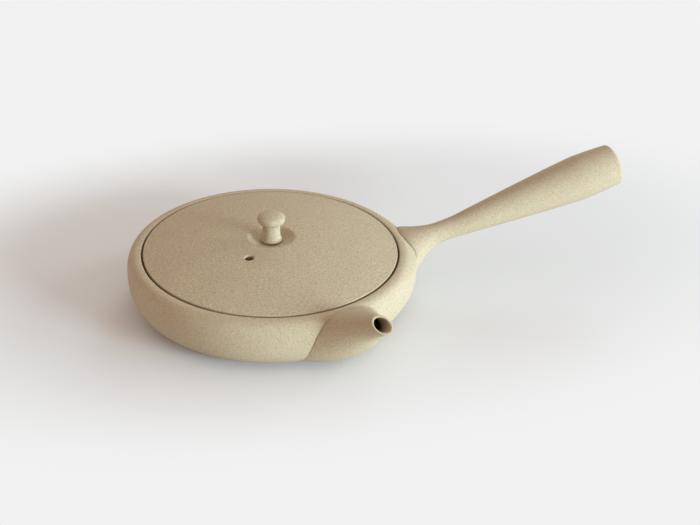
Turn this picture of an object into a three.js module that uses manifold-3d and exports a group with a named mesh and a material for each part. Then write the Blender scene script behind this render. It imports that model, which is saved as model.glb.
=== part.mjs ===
// A flat side-handled teapot in unglazed stoneware: pot, spout, strainer, hollow handle and a lid with its knob.
// Millimetres, +Z up. The origin is the centre of the flat base; the handle points along +X.
import * as THREE from "three";
import { mergeVertices } from "three/addons/utils/BufferGeometryUtils.js";
import Module from "manifold-3d";

const wasm = await Module();
wasm.setup();

// Clearances
const LID_GAP = 0.9;
const FLANGE_GAP = 0.6;
const SEAT_GAP = 0.3;
const LUTE_GAP = 0.3;

// The lid's radius sizes the pot's opening
const LID_RADIUS = 57.55;
const LID_PROUD = 0.45;
const LID_THICKNESS = 4;
const LID_EDGE_ROUND = 0.5;
const LID_RISE = 5.7;
const FLANGE_DEPTH = 3.1;
const FLANGE_WALL = 3;
const FLANGE_ROOT = 0.5;
const DIMPLE_RADIUS = 10.4;
const DIMPLE_DEPTH = 2;
const DIMPLE_FLOOR_RADIUS = 5.4;
const VENT_RADIUS = 2;
const VENT_FROM_CENTRE = 21.3;
const VENT_AZIMUTH_DEG = -130;

// Pot: heights are counted from the table. The crest is the top of the lip, at the edge of the opening
const LIP_ROUND = 0.6;
const SHOULDER_WIDTH = 5.85;
const SHOULDER_HEIGHT = 8.95;
const SHOULDER_FULLNESS = 2.9;
const BELLY_HEIGHT = 17.5;
const BASE_RADIUS = 47;
const BASE_RISE_DEG = 14;
const BELLY_REACH = 12.1;
const BODY_WALL = 3.2;
const FLOOR_THICKNESS = 3.4;
const FLOOR_CORNER_WIDTH = 4;
const FLOOR_CORNER_HEIGHT = 0.4;
const SEAT_DEPTH = 3.05;
const SEAT_WIDTH = 5.45;
const LEDGE_THICKNESS = 3;
const LEDGE_CORNER_HEIGHT = 1;
const OPENING_RADIUS = LID_RADIUS + LID_GAP;
const CREST_RADIUS = OPENING_RADIUS + LIP_ROUND;
const CREST_HEIGHT = BELLY_HEIGHT + SHOULDER_HEIGHT;
const BODY_RADIUS = CREST_RADIUS + SHOULDER_WIDTH;
const SEAT_HEIGHT = CREST_HEIGHT - SEAT_DEPTH;
const LEDGE_RADIUS = OPENING_RADIUS - SEAT_WIDTH;
const LEDGE_UNDERSIDE = SEAT_HEIGHT - LEDGE_THICKNESS;
const LID_EDGE_HEIGHT = SEAT_DEPTH + LID_PROUD - SEAT_GAP;

// Knob
const KNOB_FOOT_RADIUS = 4.8;
const KNOB_FOOT_EDGE = 0.6;
const KNOB_NECK_RADIUS = 3.75;
const KNOB_NECK_START = 1.8;
const KNOB_NECK_END = 5.5;
const KNOB_COLLAR_RADIUS = 4.4;
const KNOB_COLLAR_HEIGHT = 8.3;
const KNOB_HEAD_RADIUS = 6.3;
const KNOB_HEAD_HEIGHT = 10.8;
const KNOB_CROWN = 2.1;

// Spout: its reach is counted from the pot's side and its tip's height from the crest. The other sizes are
// half sizes across its axis, at the root inside the pot
const SPOUT_AZIMUTH_DEG = -72.5;
const SPOUT_RISE_DEG = 33.8;
const SPOUT_REACH = 20.9;
const SPOUT_TIP_ABOVE_CREST = 6.1;
const SPOUT_MOUTH_TILT_DEG = 32.9;
const SPOUT_MOUTH_BLEND = 12.5;
const SPOUT_LENGTH = 40;
const SPOUT_TIP_RADIUS = 4.25;
const SPOUT_ROOT_HALF_WIDTH = 24.5;
const SPOUT_SIDE_POWER = 1.31;
const SPOUT_ROOT_HALF_HEIGHT = 11.3;
const SPOUT_TOP_POWER = 0.94;
const SPOUT_BELLY = 19.8;
const SPOUT_BELLY_POWER = 1.4;
const SPOUT_BELLY_RETURN = 0.8;
const SPOUT_SQUARENESS = 0.21;
const SPOUT_BORE_RADIUS = 3.25;
const SPOUT_WALL = 2.2;

// Strainer: a perforated half dome behind the spout
const STRAINER_HALF_WIDTH = 12.2;
const STRAINER_HALF_HEIGHT = 7.4;
const STRAINER_DEPTH = 8.4;
const STRAINER_SINK = 1.6;
const STRAINER_WALL = 1.4;
const STRAINER_LIFT = 0.4;
const STRAINER_HOLE_RADIUS = 0.8;
const STRAINER_RINGS = 3;
const STRAINER_HOLES_PER_RING = 6;
const STRAINER_RING_STEP_DEG = 19;
const PORT_MARGIN = 2.1;

// Handle: its root is where its axis meets the pot's greatest radius
const HANDLE_RISE_DEG = 16.8;
const HANDLE_ROOT_ABOVE_BELLY = 1.7;
const HANDLE_ROOT_DEPTH = 8;
const HANDLE_LENGTH = 111.1;
const HANDLE_NECK_RADIUS = 4.07;
const HANDLE_NECK_AT = 15;
const HANDLE_GRIP_RADIUS = 10.9;
const HANDLE_GRIP_AT = 91.5;
const HANDLE_GRIP_SWELL = 0.28;
const HANDLE_END_TAPER = 0.86;
const HANDLE_END_ROUND = 1.8;
const HANDLE_FLARE_LENGTH = 25.3;
const HANDLE_FLARE_POWER = 1.87;
const HANDLE_FLARE_SIDE = 12.8;
const HANDLE_FLARE_TOP = 0.9;
const HANDLE_FLARE_BOTTOM = 5.4;
const HANDLE_WALL = 3.1;
const HANDLE_BORE_DEPTH = 74.5;
const HANDLE_BORE_TIP_RADIUS = 1.2;

// Facets, and how far tools reach past what they cut
const ROUND_STEPS = 64;
const LIMB_STEPS = 28;
const SMALL_STEPS = 26;
const VENT_STEPS = 16;
const HOLE_STEPS = 6;
const SIDE_STEPS = 9;
const SHOULDER_STEPS = 7;
const EDGE_STEPS = 3;
const CURVE_STEPS = 6;
const SPOUT_STATIONS = 12;
const HANDLE_STATIONS = 22;
const STATION_POWER = 1.4;
const DOME_STEPS = 22;
const WELD = 1e-4;
const BEYOND = 30;

const radians = THREE.MathUtils.degToRad;
const Z_AXIS = new THREE.Vector3(0, 0, 1);
const stoneware = (color) => new THREE.MeshStandardMaterial({ color, roughness: 0.9, metalness: 0 });
const POT_CLAY = "#d9c9a5";
const LID_CLAY = "#d3c29c";
const INNER_CLAY = "#cbb890";

// A closed solid from a geometry: positions only, with shared corners merged.
function solidOf(geometry) {
  const plain = geometry.index ? geometry.toNonIndexed() : geometry.clone();
  plain.deleteAttribute("normal");
  plain.deleteAttribute("uv");
  const merged = mergeVertices(plain, WELD);
  const vertProperties = merged.attributes.position.array;
  const triVerts = new Uint32Array(merged.index.array);
  return new wasm.Manifold(new wasm.Mesh({ numProp: 3, vertProperties, triVerts }));
}

function geometryOf(solid) {
  const mesh = solid.getMesh();
  const geometry = new THREE.BufferGeometry();
  geometry.setAttribute("position", new THREE.BufferAttribute(mesh.vertProperties, 3));
  geometry.setIndex(new THREE.BufferAttribute(mesh.triVerts, 1));
  geometry.computeVertexNormals();
  return geometry;
}

function pieceOf(name, solid, material) {
  const mesh = new THREE.Mesh(geometryOf(solid), material);
  mesh.name = name;
  return mesh;
}

// A solid of revolution about +Z from an outline of [radius, height] points.
function turned(outline, steps = ROUND_STEPS) {
  const points = outline.map(([radius, height]) => new THREE.Vector2(Math.max(radius, 0), height));
  return solidOf(new THREE.LatheGeometry(points, steps).rotateX(Math.PI / 2));
}

const sampled = (curve, steps) => curve.getPoints(steps).map((point) => [point.x, point.y]);

// The quarter of an ellipse that leaves one point straight up or down and reaches the other level.
// A fullness over 2 makes it squarer.
function quarter([fromRadius, fromHeight], [toRadius, toHeight], steps, fullness = 2) {
  const points = [];
  for (let i = 0; i <= steps; i += 1) {
    const turn = (i / steps) * (Math.PI / 2);
    const inward = Math.cos(turn) ** (2 / fullness);
    const upward = Math.sin(turn) ** (2 / fullness);
    points.push([toRadius + (fromRadius - toRadius) * inward, fromHeight + (toHeight - fromHeight) * upward]);
  }
  return points;
}

// The pot's outer side, from the edge of its base over the belly to the crest.
function outerSide() {
  const rise = radians(BASE_RISE_DEG);
  const baseEdge = new THREE.Vector2(BASE_RADIUS, 0);
  const baseReach = new THREE.Vector2(Math.cos(rise), Math.sin(rise)).multiplyScalar(BELLY_REACH).add(baseEdge);
  const belly = new THREE.Vector2(BODY_RADIUS, BELLY_HEIGHT);
  const bellyReach = new THREE.Vector2(BODY_RADIUS, BELLY_HEIGHT - BELLY_REACH);
  const lower = new THREE.CubicBezierCurve(baseEdge, baseReach, bellyReach, belly);
  const crest = [CREST_RADIUS, CREST_HEIGHT];
  const shoulder = quarter([BODY_RADIUS, BELLY_HEIGHT], crest, SHOULDER_STEPS, SHOULDER_FULLNESS);
  return [...sampled(lower, SIDE_STEPS), ...shoulder.slice(1)];
}

// An outline moved square to itself: positive distances go outwards.
function offsetOutline(outline, distance) {
  return outline.map(([radius, height], i) => {
    const [r0, h0] = outline[Math.max(i - 1, 0)];
    const [r1, h1] = outline[Math.min(i + 1, outline.length - 1)];
    const length = Math.hypot(r1 - r0, h1 - h0);
    return [radius + (distance * (h1 - h0)) / length, height - (distance * (r1 - r0)) / length];
  });
}

// The pot's inner side, from the floor up to the underside of the lid ledge.
function innerSide(wall) {
  const lowest = FLOOR_THICKNESS + (wall - BODY_WALL) + FLOOR_CORNER_HEIGHT;
  const highest = Math.min(BELLY_HEIGHT, LEDGE_UNDERSIDE - (wall - BODY_WALL) - LEDGE_CORNER_HEIGHT);
  return offsetOutline(outerSide(), -wall).filter(([, height]) => height > lowest && height < highest);
}

// The hollow of the pot under the ledge, drawn in by a clearance.
function hollow(clearance) {
  const side = innerSide(BODY_WALL + clearance);
  const floor = FLOOR_THICKNESS + clearance;
  const roof = LEDGE_UNDERSIDE - clearance;
  const floorRadius = side[0][0] - FLOOR_CORNER_WIDTH;
  return turned([[0, floor], [floorRadius, floor], ...side, [LEDGE_RADIUS, roof], [0, roof]]);
}

// Everything inside the pot's outer surface moved out by a gap, with the air above the crest.
function potEnvelope(gap) {
  const side = offsetOutline(outerSide(), gap);
  const crest = side[side.length - 1];
  const top = CREST_HEIGHT + BEYOND;
  return turned([[0, -BEYOND], [side[0][0], -BEYOND], ...side, [crest[0], top], [0, top]]);
}

// The place of a piece whose own +Y runs outwards from the pot at an azimuth and a rise.
function alongAxis(azimuthDeg, riseDeg, fromAxis, height) {
  const azimuth = radians(azimuthDeg);
  const rise = radians(riseDeg);
  const heading = new THREE.Vector3(Math.cos(azimuth), Math.sin(azimuth), 0);
  const axis = heading.clone().multiplyScalar(Math.cos(rise)).setZ(Math.sin(rise));
  const side = new THREE.Vector3(Math.sin(azimuth), -Math.cos(azimuth), 0);
  const up = new THREE.Vector3().crossVectors(side, axis);
  const matrix = new THREE.Matrix4().makeBasis(side, axis, up);
  matrix.setPosition(heading.multiplyScalar(fromAxis).setZ(height));
  return matrix;
}

const bent = (value, power) => Math.sign(value) * Math.abs(value) ** power;

// A limb is turned about its own +Y to its half width. Its height above and below the axis is then drawn to
// other half sizes, and its section made squarer by the sizes' square. move, if any, shifts a point along
// the axis.
function limb(outline, halfSizes, placing, move = () => 0) {
  const points = outline.map(([radius, along]) => new THREE.Vector2(Math.max(radius, 0), along));
  const geometry = new THREE.LatheGeometry(points, LIMB_STEPS);
  const position = geometry.attributes.position;
  for (let i = 0; i < position.count; i += 1) {
    const along = position.getY(i);
    const sizes = halfSizes(along);
    const radius = Math.hypot(position.getX(i), position.getZ(i));
    const outward = radius > 0 ? bent(position.getX(i) / radius, 1 - sizes.square) : 0;
    const upward = radius > 0 ? bent(position.getZ(i) / radius, 1 - sizes.square) : 0;
    const height = (radius * upward * (upward > 0 ? sizes.top : sizes.bottom)) / sizes.side;
    position.setXYZ(i, radius * outward, along + move(along, height), height);
  }
  return solidOf(geometry.applyMatrix4(placing));
}

// Half sizes of the spout at a place along its axis: 0 at the tip, negative towards the pot.
function spoutHalfSizes(along, wall = 0) {
  const inward = Math.min(Math.max(-along / SPOUT_LENGTH, 0), 1);
  const tip = SPOUT_TIP_RADIUS;
  const sideShare = inward ** SPOUT_SIDE_POWER;
  const topShare = inward ** SPOUT_TOP_POWER;
  const bellyShare = inward ** SPOUT_BELLY_POWER * (1 - SPOUT_BELLY_RETURN * inward ** 2);
  return {
    side: tip + (SPOUT_ROOT_HALF_WIDTH - tip) * sideShare - wall,
    top: tip + (SPOUT_ROOT_HALF_HEIGHT - tip) * topShare - wall,
    bottom: tip + SPOUT_BELLY * bellyShare - wall,
    square: SPOUT_SQUARENESS * inward,
  };
}

function spoutShift(along, height) {
  const blend = Math.min(Math.max(1 + along / SPOUT_MOUTH_BLEND, 0), 1);
  return -height * Math.tan(radians(SPOUT_MOUTH_TILT_DEG)) * blend ** 2;
}

// Thickness of the spout's wall at a place along its axis: it thins towards the mouth.
function spoutWall(along) {
  const lipWall = SPOUT_TIP_RADIUS - SPOUT_BORE_RADIUS;
  const inward = Math.min(Math.max(-along / SPOUT_MOUTH_BLEND, 0), 1);
  return lipWall + (SPOUT_WALL - lipWall) * inward;
}

function makeSpout() {
  const tipHeight = CREST_HEIGHT + SPOUT_TIP_ABOVE_CREST;
  const placing = alongAxis(SPOUT_AZIMUTH_DEG, SPOUT_RISE_DEG, BODY_RADIUS + SPOUT_REACH, tipHeight);
  const lip = (SPOUT_TIP_RADIUS - SPOUT_BORE_RADIUS) / 2;
  const boreSizes = (along) => spoutHalfSizes(along, spoutWall(along));
  const outside = [[0, -SPOUT_LENGTH]];
  const inside = [[0, -SPOUT_LENGTH - lip]];
  for (let i = SPOUT_STATIONS; i >= 0; i -= 1) {
    const share = (i / SPOUT_STATIONS) ** STATION_POWER;
    const outerAlong = -lip - (SPOUT_LENGTH - lip) * share;
    const innerAlong = -(SPOUT_LENGTH + lip) * share;
    outside.push([spoutHalfSizes(outerAlong).side, outerAlong]);
    inside.push([boreSizes(innerAlong).side, innerAlong]);
  }
  outside.pop();
  outside.push(...quarter([SPOUT_TIP_RADIUS, -lip], [SPOUT_BORE_RADIUS + lip, 0], EDGE_STEPS), [0, 0]);
  inside.push([SPOUT_BORE_RADIUS, BEYOND], [0, BEYOND]);
  const outer = limb(outside, (along) => spoutHalfSizes(along), placing, spoutShift);
  const inner = limb(inside, boreSizes, placing, spoutShift);
  return pieceOf("spout", outer.subtract(inner).subtract(potEnvelope(LUTE_GAP)), stoneware(POT_CLAY));
}

// The strainer's half dome stands on the pot's inner wall behind the spout.
function strainerPlacing() {
  const fromAxis = BODY_RADIUS - BODY_WALL - STRAINER_SINK;
  const middle = (FLOOR_THICKNESS + LEDGE_UNDERSIDE) / 2;
  return alongAxis(SPOUT_AZIMUTH_DEG, 0, fromAxis, middle + STRAINER_LIFT);
}

function dome(wall) {
  const ball = new THREE.SphereGeometry(1, DOME_STEPS, DOME_STEPS / 2);
  ball.scale(STRAINER_HALF_WIDTH - wall, STRAINER_DEPTH - wall, STRAINER_HALF_HEIGHT - wall);
  return solidOf(ball.applyMatrix4(strainerPlacing()));
}

// A hole square to the dome at polar angle tilt and turn round the dome's pole, which faces the pot's axis.
function strainerHole(tilt, turn) {
  const sizes = new THREE.Vector3(STRAINER_HALF_WIDTH, STRAINER_DEPTH, STRAINER_HALF_HEIGHT);
  const unit = new THREE.Vector3(Math.sin(tilt) * Math.cos(turn), -Math.cos(tilt), Math.sin(tilt) * Math.sin(turn));
  const normal = unit.clone().divide(sizes).normalize();
  const length = 4 * STRAINER_WALL;
  const drill = new THREE.CylinderGeometry(STRAINER_HOLE_RADIUS, STRAINER_HOLE_RADIUS, length, HOLE_STEPS);
  const squareOn = new THREE.Quaternion().setFromUnitVectors(new THREE.Vector3(0, 1, 0), normal);
  drill.applyQuaternion(squareOn).translate(...unit.multiply(sizes).toArray());
  return solidOf(drill.applyMatrix4(strainerPlacing()));
}

function makeStrainer() {
  let shell = dome(0).subtract(dome(STRAINER_WALL)).intersect(hollow(LUTE_GAP));
  for (let ring = 0; ring <= STRAINER_RINGS; ring += 1) {
    const tilt = radians(ring * STRAINER_RING_STEP_DEG);
    const count = Math.max(ring * STRAINER_HOLES_PER_RING, 1);
    for (let i = 0; i < count; i += 1) {
      shell = shell.subtract(strainerHole(tilt, ((i + 0.5) / count) * 2 * Math.PI));
    }
  }
  return pieceOf("strainer", shell, stoneware(INNER_CLAY));
}

// The port through the pot's wall, inside the strainer's rim and the spout's root.
function port() {
  const drill = new THREE.CylinderGeometry(1, 1, BEYOND, LIMB_STEPS);
  const inset = STRAINER_WALL + PORT_MARGIN;
  drill.scale(STRAINER_HALF_WIDTH - inset, 1, STRAINER_HALF_HEIGHT - inset);
  return solidOf(drill.applyMatrix4(strainerPlacing()));
}

function makePotBody() {
  const lipStart = [OPENING_RADIUS, CREST_HEIGHT - LIP_ROUND];
  const lip = quarter(lipStart, [CREST_RADIUS, CREST_HEIGHT], EDGE_STEPS).reverse();
  const inner = innerSide(BODY_WALL).reverse();
  const outline = [
    [0, 0],
    ...outerSide(),
    ...lip.slice(1),
    [OPENING_RADIUS, SEAT_HEIGHT],
    [LEDGE_RADIUS, SEAT_HEIGHT],
    [LEDGE_RADIUS, LEDGE_UNDERSIDE],
    ...inner,
    [inner[inner.length - 1][0] - FLOOR_CORNER_WIDTH, FLOOR_THICKNESS],
    [0, FLOOR_THICKNESS],
  ];
  return pieceOf("pot_body", turned(outline).subtract(port()), stoneware(POT_CLAY));
}

// Half sizes of the handle at a distance from its root, outwards along its axis.
function handleHalfSizes(along, wall = 0) {
  const flare = Math.max(1 - along / HANDLE_FLARE_LENGTH, 0) ** HANDLE_FLARE_POWER;
  const reach = Math.min(Math.max((along - HANDLE_NECK_AT) / (HANDLE_GRIP_AT - HANDLE_NECK_AT), 0), 1);
  const swell = reach + HANDLE_GRIP_SWELL * reach ** 2 * (1 - reach);
  const past = Math.max((along - HANDLE_GRIP_AT) / (HANDLE_LENGTH - HANDLE_GRIP_AT), 0);
  const grip = (HANDLE_GRIP_RADIUS - HANDLE_NECK_RADIUS) * swell;
  const round = HANDLE_NECK_RADIUS + grip - HANDLE_END_TAPER * past ** 2;
  return {
    side: round + HANDLE_FLARE_SIDE * flare - wall,
    top: round + HANDLE_FLARE_TOP * flare - wall,
    bottom: round + HANDLE_FLARE_BOTTOM * flare - wall,
    square: 0,
  };
}

function makeHandle() {
  const placing = alongAxis(0, HANDLE_RISE_DEG, BODY_RADIUS, BELLY_HEIGHT + HANDLE_ROOT_ABOVE_BELLY);
  const straight = HANDLE_LENGTH - HANDLE_END_ROUND;
  const outside = [[0, -HANDLE_ROOT_DEPTH]];
  for (let i = 0; i < HANDLE_STATIONS; i += 1) {
    const share = (i / HANDLE_STATIONS) ** STATION_POWER;
    const along = -HANDLE_ROOT_DEPTH + (straight + HANDLE_ROOT_DEPTH) * share;
    outside.push([handleHalfSizes(along).side, along]);
  }
  const endRadius = handleHalfSizes(straight).side;
  const endCorner = [endRadius - HANDLE_END_ROUND, HANDLE_LENGTH];
  outside.push(...quarter([endRadius, straight], endCorner, EDGE_STEPS), [0, HANDLE_LENGTH]);
  const outer = limb(outside, (along) => handleHalfSizes(along), placing);
  const boreStart = HANDLE_LENGTH - HANDLE_BORE_DEPTH;
  const inside = [[0, boreStart], [HANDLE_BORE_TIP_RADIUS, boreStart]];
  for (let i = 1; i <= CURVE_STEPS; i += 1) {
    const along = boreStart + HANDLE_BORE_DEPTH * (i / CURVE_STEPS);
    inside.push([handleHalfSizes(along, HANDLE_WALL).side, along]);
  }
  const mouthRadius = handleHalfSizes(HANDLE_LENGTH, HANDLE_WALL).side;
  inside.push([mouthRadius, HANDLE_LENGTH + BEYOND], [0, HANDLE_LENGTH + BEYOND]);
  const bore = limb(inside, () => ({ side: 1, top: 1, bottom: 1, square: 0 }), placing);
  return pieceOf("handle", outer.subtract(bore).subtract(potEnvelope(LUTE_GAP)), stoneware(POT_CLAY));
}

// Height of the lid's domed top over its edge at a distance from the centre.
const lidTop = (radius) => LID_EDGE_HEIGHT + LID_RISE * (1 - (radius / LID_RADIUS) ** 2);

// The lid is turned from its own seat plane, with the flange that drops inside the ledge.
function makeLidPlate() {
  const dimpleFloor = lidTop(DIMPLE_RADIUS) - DIMPLE_DEPTH;
  const flangeRadius = LEDGE_RADIUS - FLANGE_GAP;
  const flangeInner = flangeRadius - FLANGE_WALL;
  const flangeBottom = -FLANGE_DEPTH - SEAT_GAP;
  const edgeStart = LID_RADIUS - LID_EDGE_ROUND;
  const underside = [];
  const top = [];
  const dimple = [];
  for (let i = 0; i <= CURVE_STEPS; i += 1) {
    const share = i / CURVE_STEPS;
    const under = (flangeInner - FLANGE_ROOT) * share;
    underside.push([under, lidTop(under) - LID_THICKNESS]);
    const over = edgeStart + (DIMPLE_RADIUS - edgeStart) * share;
    top.push([over, lidTop(over)]);
    const within = DIMPLE_RADIUS + (DIMPLE_FLOOR_RADIUS - DIMPLE_RADIUS) * share;
    dimple.push([within, lidTop(DIMPLE_RADIUS) - DIMPLE_DEPTH * Math.sin((share * Math.PI) / 2)]);
  }
  const outline = [
    ...underside,
    [flangeInner, lidTop(flangeInner) - LID_THICKNESS - FLANGE_ROOT],
    [flangeInner, flangeBottom],
    [flangeRadius, flangeBottom],
    [flangeRadius, 0],
    [LID_RADIUS, 0],
    ...quarter([LID_RADIUS, lidTop(edgeStart) - LID_EDGE_ROUND], [edgeStart, lidTop(edgeStart)], EDGE_STEPS),
    ...top.slice(1),
    ...dimple.slice(1),
    [0, dimpleFloor],
  ];
  const drill = new THREE.CylinderGeometry(VENT_RADIUS, VENT_RADIUS, BEYOND, VENT_STEPS).rotateX(Math.PI / 2);
  const ventPlace = new THREE.Vector3(VENT_FROM_CENTRE, 0, 0).applyAxisAngle(Z_AXIS, radians(VENT_AZIMUTH_DEG));
  drill.translate(...ventPlace.toArray());
  return pieceOf("lid_plate", turned(outline).subtract(solidOf(drill)), stoneware(LID_CLAY));
}

// The knob: a waisted neck up to a collar, and the head whose underside springs from the collar.
function makeKnob() {
  const neck = new THREE.CubicBezierCurve(
    new THREE.Vector2(KNOB_FOOT_RADIUS, KNOB_FOOT_EDGE),
    new THREE.Vector2(KNOB_NECK_RADIUS, KNOB_NECK_START),
    new THREE.Vector2(KNOB_NECK_RADIUS, KNOB_NECK_END),
    new THREE.Vector2(KNOB_COLLAR_RADIUS, KNOB_COLLAR_HEIGHT),
  );
  const head = [KNOB_HEAD_RADIUS, KNOB_HEAD_HEIGHT];
  const underHead = quarter(head, [KNOB_COLLAR_RADIUS, KNOB_COLLAR_HEIGHT], CURVE_STEPS).reverse();
  const crown = quarter(head, [0, KNOB_HEAD_HEIGHT + KNOB_CROWN], CURVE_STEPS);
  const foot = [[0, 0], [KNOB_FOOT_RADIUS, 0]];
  const outline = [...foot, ...sampled(neck, CURVE_STEPS), ...underHead.slice(1), ...crown.slice(1)];
  const knob = pieceOf("knob", turned(outline, SMALL_STEPS), stoneware(LID_CLAY));
  knob.position.z = lidTop(DIMPLE_RADIUS) - DIMPLE_DEPTH + LUTE_GAP;
  return knob;
}

function makeLid() {
  const lid = new THREE.Group();
  lid.add(makeLidPlate(), makeKnob());
  lid.position.z = SEAT_HEIGHT + SEAT_GAP;
  return lid;
}

const kyusu = new THREE.Group();
kyusu.add(makePotBody(), makeSpout(), makeStrainer(), makeHandle(), makeLid());

export default kyusu;
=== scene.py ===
"""A flat side-handled teapot in speckled unglazed stoneware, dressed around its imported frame."""
import math

import bmesh
import bpy
import numpy as np
from mathutils import Matrix, Vector


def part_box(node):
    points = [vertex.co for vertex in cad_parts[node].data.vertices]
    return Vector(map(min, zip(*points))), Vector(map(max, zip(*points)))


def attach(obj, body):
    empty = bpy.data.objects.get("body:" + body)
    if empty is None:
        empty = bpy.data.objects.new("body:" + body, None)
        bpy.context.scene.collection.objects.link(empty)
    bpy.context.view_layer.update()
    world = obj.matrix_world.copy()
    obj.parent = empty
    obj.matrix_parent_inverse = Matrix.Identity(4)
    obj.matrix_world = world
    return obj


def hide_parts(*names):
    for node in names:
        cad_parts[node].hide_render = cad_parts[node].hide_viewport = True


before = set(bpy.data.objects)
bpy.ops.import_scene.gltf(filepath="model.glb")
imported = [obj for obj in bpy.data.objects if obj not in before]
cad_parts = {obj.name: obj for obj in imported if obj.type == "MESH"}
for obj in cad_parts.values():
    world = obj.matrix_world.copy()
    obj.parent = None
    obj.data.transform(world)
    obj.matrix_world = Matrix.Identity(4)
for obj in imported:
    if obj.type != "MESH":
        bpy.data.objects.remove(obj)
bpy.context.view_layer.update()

MM = 0.001

# Lid: its seat plane is 0.3 mm above the ledge
lid_low, lid_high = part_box("lid_plate")
LID_RADIUS = lid_high.x / MM
LID_GAP = 0.9
LID_THICKNESS = 4.0
LID_EDGE_HEIGHT = 2.95
LID_EDGE_ROUND = 0.4
LID_RISE = 5.95
LID_BRIM_ROUND = 0.4
SEAT_GAP = 0.3
FLANGE_BOTTOM = lid_low.z / MM
FLANGE_WALL = 3.0
FLANGE_ROOT = 2.0
FLANGE_ROOT_ROUND = 1.8
FLANGE_ARM_ROUND = 0.3
DIMPLE_RADIUS = 10.5
DIMPLE_DEPTH = 2.7
DIMPLE_RIM_ROUND = 0.85
DIMPLE_RIM_WIDTH = 2.0
DIMPLE_RIM_INSET = 0.9
DIMPLE_FLAT_RADIUS = 1.0
DIMPLE_POWER = 3.0
VENT_RADIUS = 2.0
VENT_ROUND = 0.7
VENT_WIDENING = 1.2
VENT_MOUTH = VENT_RADIUS + VENT_WIDENING
VENT_LIFT = 0.15
VENT_DRILL_BELOW, VENT_DRILL_ABOVE = 2.0, 3.0
VENT_FROM_CENTRE = 21.3
VENT_AZIMUTH = math.radians(-130)
VENT_CENTRE = (VENT_FROM_CENTRE * math.cos(VENT_AZIMUTH), VENT_FROM_CENTRE * math.sin(VENT_AZIMUTH))

# Pot, in millimetres; what the frame holds is read from it
pot_low, pot_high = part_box("pot_body")
BODY_RADIUS = pot_high.x / MM
CREST_HEIGHT = pot_high.z / MM
OPENING_RADIUS = LID_RADIUS + LID_GAP
LIP_ROUND = 0.6
CREST_RADIUS = OPENING_RADIUS + LIP_ROUND
SHOULDER_FULLNESS = 2.9
BELLY_HEIGHT = 17.5
BASE_RADIUS = 47.0
BASE_EDGE_ROUND = 0.6
BASE_RISE = math.radians(14)
BELLY_REACH = 12.1
BODY_WALL = 3.2
FLOOR_THICKNESS = 3.4
FLOOR_CORNER = 4.0
FLOOR_CORNER_HEIGHT = 0.4
FLOOR_ROUND = 3.0
SEAT_DEPTH = 3.05
SEAT_WIDTH = 5.45
LEDGE_THICKNESS = 3.0
LEDGE_CORNER_HEIGHT = 1.0
FLANGE_GAP = 0.6
SEAT_HEIGHT = CREST_HEIGHT - SEAT_DEPTH
LEDGE_RADIUS = OPENING_RADIUS - SEAT_WIDTH
LEDGE_UNDERSIDE = SEAT_HEIGHT - LEDGE_THICKNESS
LID_SEAT = SEAT_HEIGHT + SEAT_GAP
FLANGE_RADIUS = LEDGE_RADIUS - FLANGE_GAP
EDGE_SOFTNESS = 0.5
SURFACE_TOLERANCE = 0.05

# Clay built up on the pot round the handle's root: how thick, and how far it reaches
PAD_THICKNESS = 2.0
PAD_HALF_WIDTH = 46.0
PAD_TOP, PAD_TOP_FADE = 26.1, 4.2
PAD_BOTTOM, PAD_BOTTOM_FADE = 2.0, 9.0

# Knob: its foot is sunk through the CAD's gap
knob_low, knob_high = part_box("knob")
KNOB_HEAD_RADIUS = knob_high.x / MM
KNOB_TOP = knob_high.z / MM
KNOB_FOOT = knob_low.z / MM
KNOB_FOOT_RADIUS = 4.8
KNOB_FOOT_EDGE = 0.6
KNOB_SINK = 0.3
KNOB_NECK_RADIUS = 3.75
KNOB_NECK_START, KNOB_NECK_END = 1.8, 5.5
KNOB_COLLAR_RADIUS = 4.4
KNOB_COLLAR_HEIGHT = 8.3
KNOB_CROWN = 2.1
KNOB_CROWN_FULLNESS = 2.3

# Spout: its reach is counted from the pot's side and its tip's height from the crest
SPOUT_AZIMUTH = math.radians(-72.5)
SPOUT_RISE = math.radians(33.4)
SPOUT_REACH = 20.83
SPOUT_TIP_ABOVE_CREST = 6.05
SPOUT_TIP_FROM_AXIS = BODY_RADIUS + SPOUT_REACH
SPOUT_TIP_HEIGHT = CREST_HEIGHT + SPOUT_TIP_ABOVE_CREST
SPOUT_MOUTH_TILT = math.radians(33.5)
SPOUT_MOUTH_BLEND = 9.5
SPOUT_LENGTH = 40.0
SPOUT_TIP_RADIUS = 4.25
SPOUT_ROOT_HALF_WIDTH = 24.5
SPOUT_SIDE_POWER = 1.31
SPOUT_ROOT_HALF_HEIGHT = 15.0
SPOUT_TOP_POWER = 1.7
SPOUT_BELLY = 20.3
SPOUT_BELLY_POWER = 1.62
SPOUT_BELLY_RETURN = 0.73
SPOUT_SQUARENESS = 0.17
SPOUT_BORE_RADIUS = 3.25
SPOUT_WALL = 2.2

# Strainer
STRAINER_HALF_WIDTH = 12.2
STRAINER_HALF_HEIGHT = 7.4
STRAINER_DEPTH = 8.4
STRAINER_WALL = 1.4
STRAINER_SINK = 1.6
STRAINER_LIFT = 0.4
STRAINER_TRIM_GAP = 0.1
STRAINER_FROM_AXIS = BODY_RADIUS - BODY_WALL - STRAINER_SINK
STRAINER_HEIGHT = (FLOOR_THICKNESS + LEDGE_UNDERSIDE) / 2 + STRAINER_LIFT
STRAINER_HOLE_RADIUS = 0.8
STRAINER_RINGS = 3
STRAINER_HOLES_PER_RING = 6
STRAINER_RING_STEP = math.radians(19)
STRAINER_DRILL_WALLS = 5
PORT_MARGIN = 2.1
PORT_DRILL_LENGTH = 24.0

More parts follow.
